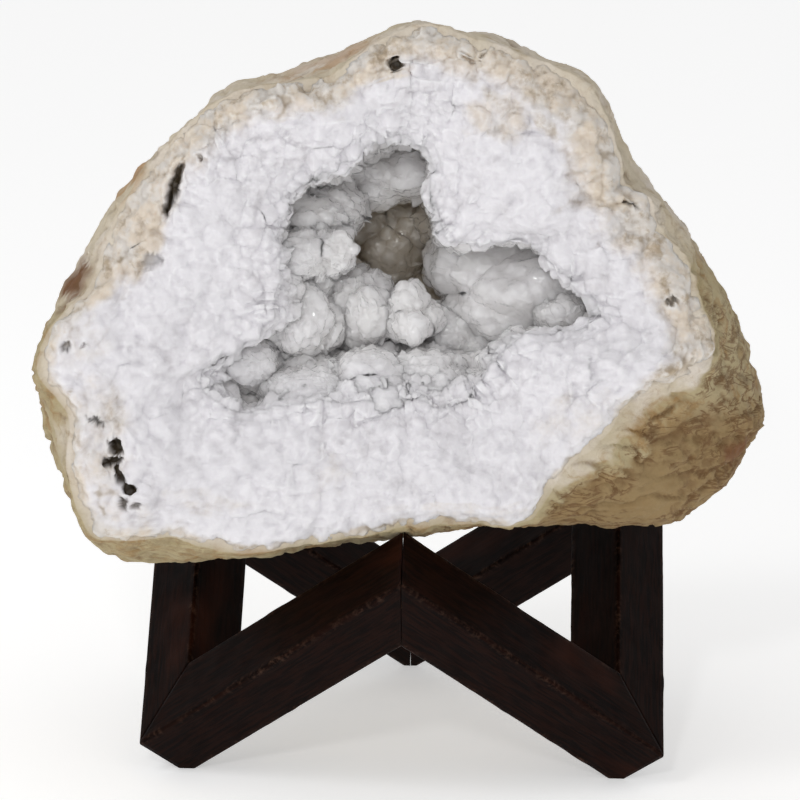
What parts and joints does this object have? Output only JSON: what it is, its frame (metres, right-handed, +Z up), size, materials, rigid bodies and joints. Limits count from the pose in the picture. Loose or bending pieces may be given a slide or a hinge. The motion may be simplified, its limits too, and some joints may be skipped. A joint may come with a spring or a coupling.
{
  "type": "geode on a stand",
  "caption": "Broken-open white quartz geode with a tan rind and a crystal-lined hollow, resting on a dark hardwood stand whose mitred rails follow the edges of a cube stood on its corner.",
  "frame": {"origin": "middle of the whole object's footprint, on the floor", "axes": "+Z up, -Y towards the open face, +X to the right as seen from the open face"},
  "size_m": [0.4072, 0.3394, 0.4304],
  "materials": {
    "stained_wood": "dark stained hardwood, satin",
    "dowel_wood": "bare turned hardwood",
    "tan_rind": "rough weathered rind, cream to ochre",
    "white_quartz": "sugary broken quartz, matt with fine sparkle",
    "crystal_quartz": "milky translucent quartz points, glossy facets"
  },
  "bodies": {
    "root": {"rind": "tan_rind", "quartz_lining": "white_quartz", "crystal_centre_ball": "crystal_quartz", "crystal_centre_mound": "crystal_quartz", "crystal_left_ledge": "crystal_quartz", "crystal_upper_left_block": "crystal_quartz", "crystal_left_mound": "crystal_quartz", "crystal_lower_left_mound": "crystal_quartz", "crystal_floor_left_mound": "crystal_quartz", "crystal_floor_middle_mound": "crystal_quartz", "crystal_floor_right_mound": "crystal_quartz", "crystal_right_wall_mound": "crystal_quartz", "crystal_right_lower_mound": "crystal_quartz", "crystal_right_pocket_mound": "crystal_quartz", "crystal_back_mound": "crystal_quartz", "crystal_roof_mound": "crystal_quartz", "crystal_right_crest_inner": "crystal_quartz", "crystal_right_crest_outer": "crystal_quartz", "front_left_rail": "stained_wood", "left_rail": "stained_wood", "back_left_rail": "stained_wood", "back_right_rail": "stained_wood", "right_rail": "stained_wood", "front_right_rail": "stained_wood", "front_seat_outer_dowel": "dowel_wood", "front_seat_inner_dowel": "dowel_wood", "left_foot_outer_dowel": "dowel_wood", "left_foot_inner_dowel": "dowel_wood", "left_seat_outer_dowel": "dowel_wood", "left_seat_inner_dowel": "dowel_wood", "back_foot_outer_dowel": "dowel_wood", "back_foot_inner_dowel": "dowel_wood", "right_seat_outer_dowel": "dowel_wood", "right_seat_inner_dowel": "dowel_wood", "right_foot_outer_dowel": "dowel_wood", "right_foot_inner_dowel": "dowel_wood"}
  },
  "joints": []
}
